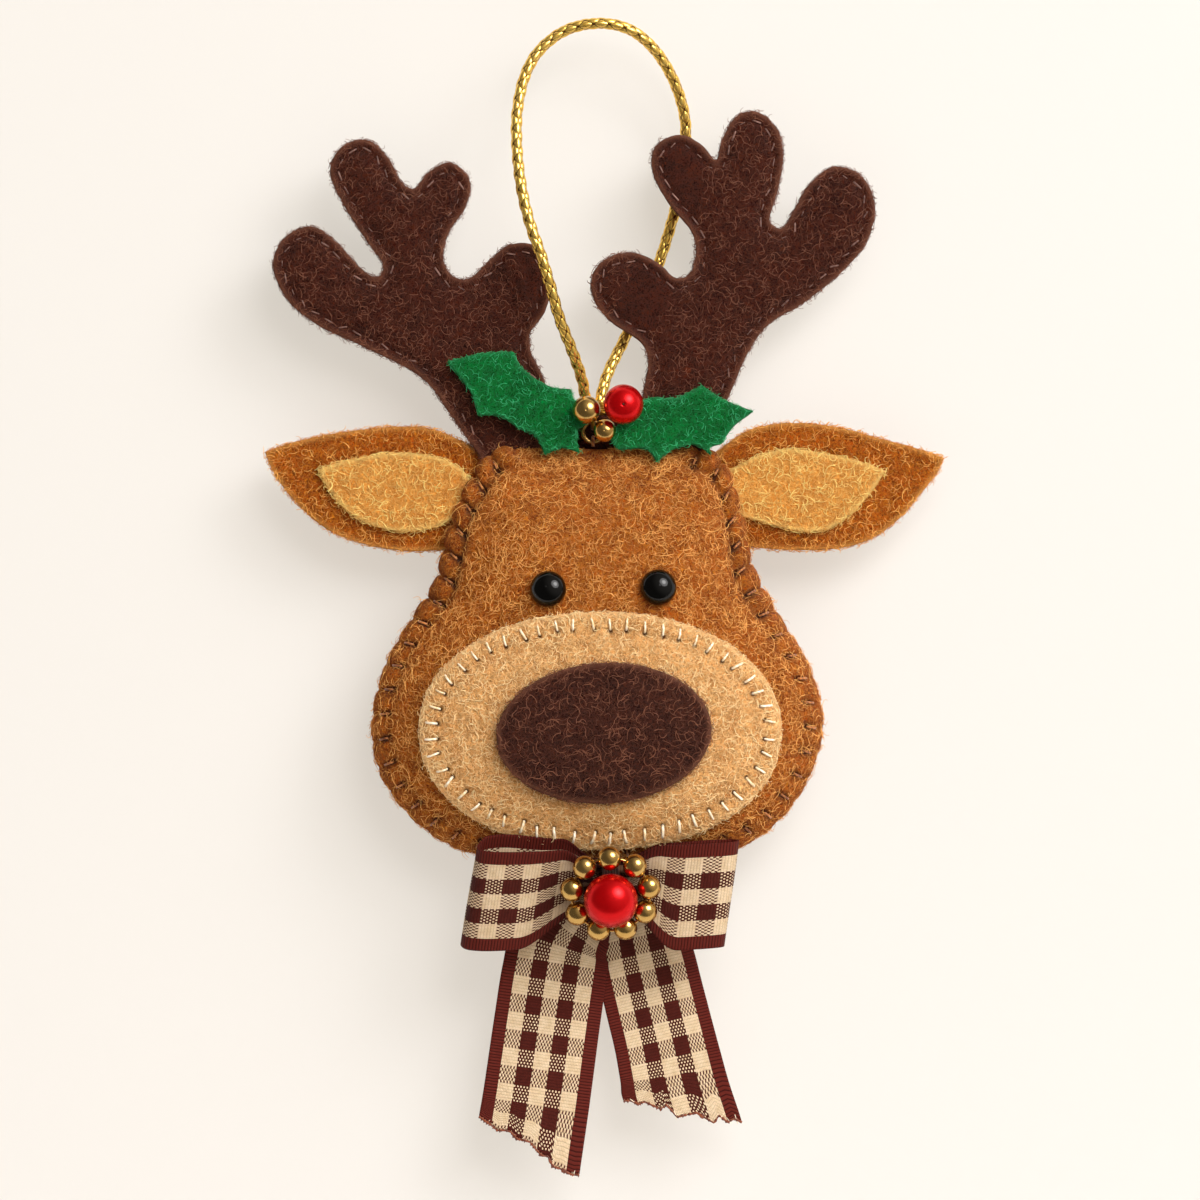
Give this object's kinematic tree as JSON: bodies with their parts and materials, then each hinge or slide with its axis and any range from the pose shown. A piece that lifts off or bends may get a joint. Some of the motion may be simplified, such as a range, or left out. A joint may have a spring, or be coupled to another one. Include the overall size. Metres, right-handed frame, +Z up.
{
  "type": "felt hanging ornament",
  "caption": "Stuffed felt deer head with antlers, ears, holly leaves, beads and a gingham bow, hung from a gold cord loop through a jump ring.",
  "frame": {"origin": "underside of the cord loop's crown, where a hook or twig carries the ornament", "axes": "+Z up, the face looks along -Y, +X to the right of someone looking at the face"},
  "size_m": [0.1019, 0.0288, 0.1738],
  "materials": {
    "gold_cord": "braided metallic cord, shiny facets in a fine net",
    "gold_metal": "polished gold plating",
    "brown_thread": "twisted sewing thread, matt",
    "brown_felt": "wool felt, matt and hairy",
    "tan_felt": "wool felt, matt and hairy",
    "dark_felt": "wool felt, matt and hairy",
    "green_felt": "wool felt, matt and hairy",
    "stuffing": "loose polyester fibre filling",
    "gingham_ribbon": "woven gingham ribbon, dark brown and cream, with dark brown selvedges",
    "red_pearl": "pearlescent coated bead, glossy",
    "black_bead": "polished black bead, glossy"
  },
  "bodies": {
    "hanging_loop": {"hanging_cord": "gold_cord", "cord_binding": "gold_cord", "link_thread": "gold_cord"},
    "jump_ring": {"jump_ring": "gold_metal"},
    "ornament": {"ring_tie_thread": "brown_thread", "antler_left_front": "dark_felt", "antler_left_back": "dark_felt", "antler_right_front": "dark_felt", "antler_right_back": "dark_felt", "ear_left_outer": "brown_felt", "ear_left_inner": "tan_felt", "ear_right_outer": "brown_felt", "ear_right_inner": "tan_felt", "head_front_panel": "brown_felt", "head_back_panel": "brown_felt", "head_stuffing": "stuffing", "muzzle_panel": "tan_felt", "nose_patch": "dark_felt", "eye_left": "black_bead", "eye_right": "black_bead", "holly_leaf_left": "green_felt", "holly_leaf_right": "green_felt", "berry_red": "red_pearl", "berry_gold_upper": "gold_metal", "berry_gold_lower": "gold_metal", "bow_loop_left": "gingham_ribbon", "bow_loop_right": "gingham_ribbon", "bow_wrap": "brown_thread", "bow_tail_left": "gingham_ribbon", "bow_tail_right": "gingham_ribbon", "bow_stitch": "brown_thread", "bow_bead_1": "gold_metal", "bow_bead_2": "gold_metal", "bow_bead_3": "gold_metal", "bow_bead_4": "gold_metal", "bow_bead_5": "gold_metal", "bow_bead_6": "gold_metal", "bow_bead_7": "gold_metal", "bow_bead_8": "gold_metal", "bow_bead_9": "gold_metal", "bead_wire": "gold_metal", "bow_pearl": "red_pearl"}
  },
  "joints": [
    {"name": "ring_rock", "type": "hinge", "parent": "hanging_loop", "child": "jump_ring", "pos_m": [-0.00105, 0, -0.0598], "axis": [0, 1, 0], "range_deg": [-8, 8]},
    {"name": "head_nod", "type": "hinge", "parent": "jump_ring", "child": "ornament", "pos_m": [-0.00105, 0, -0.06198], "axis": [1, 0, 0], "range_deg": [-3, 6]}
  ]
}
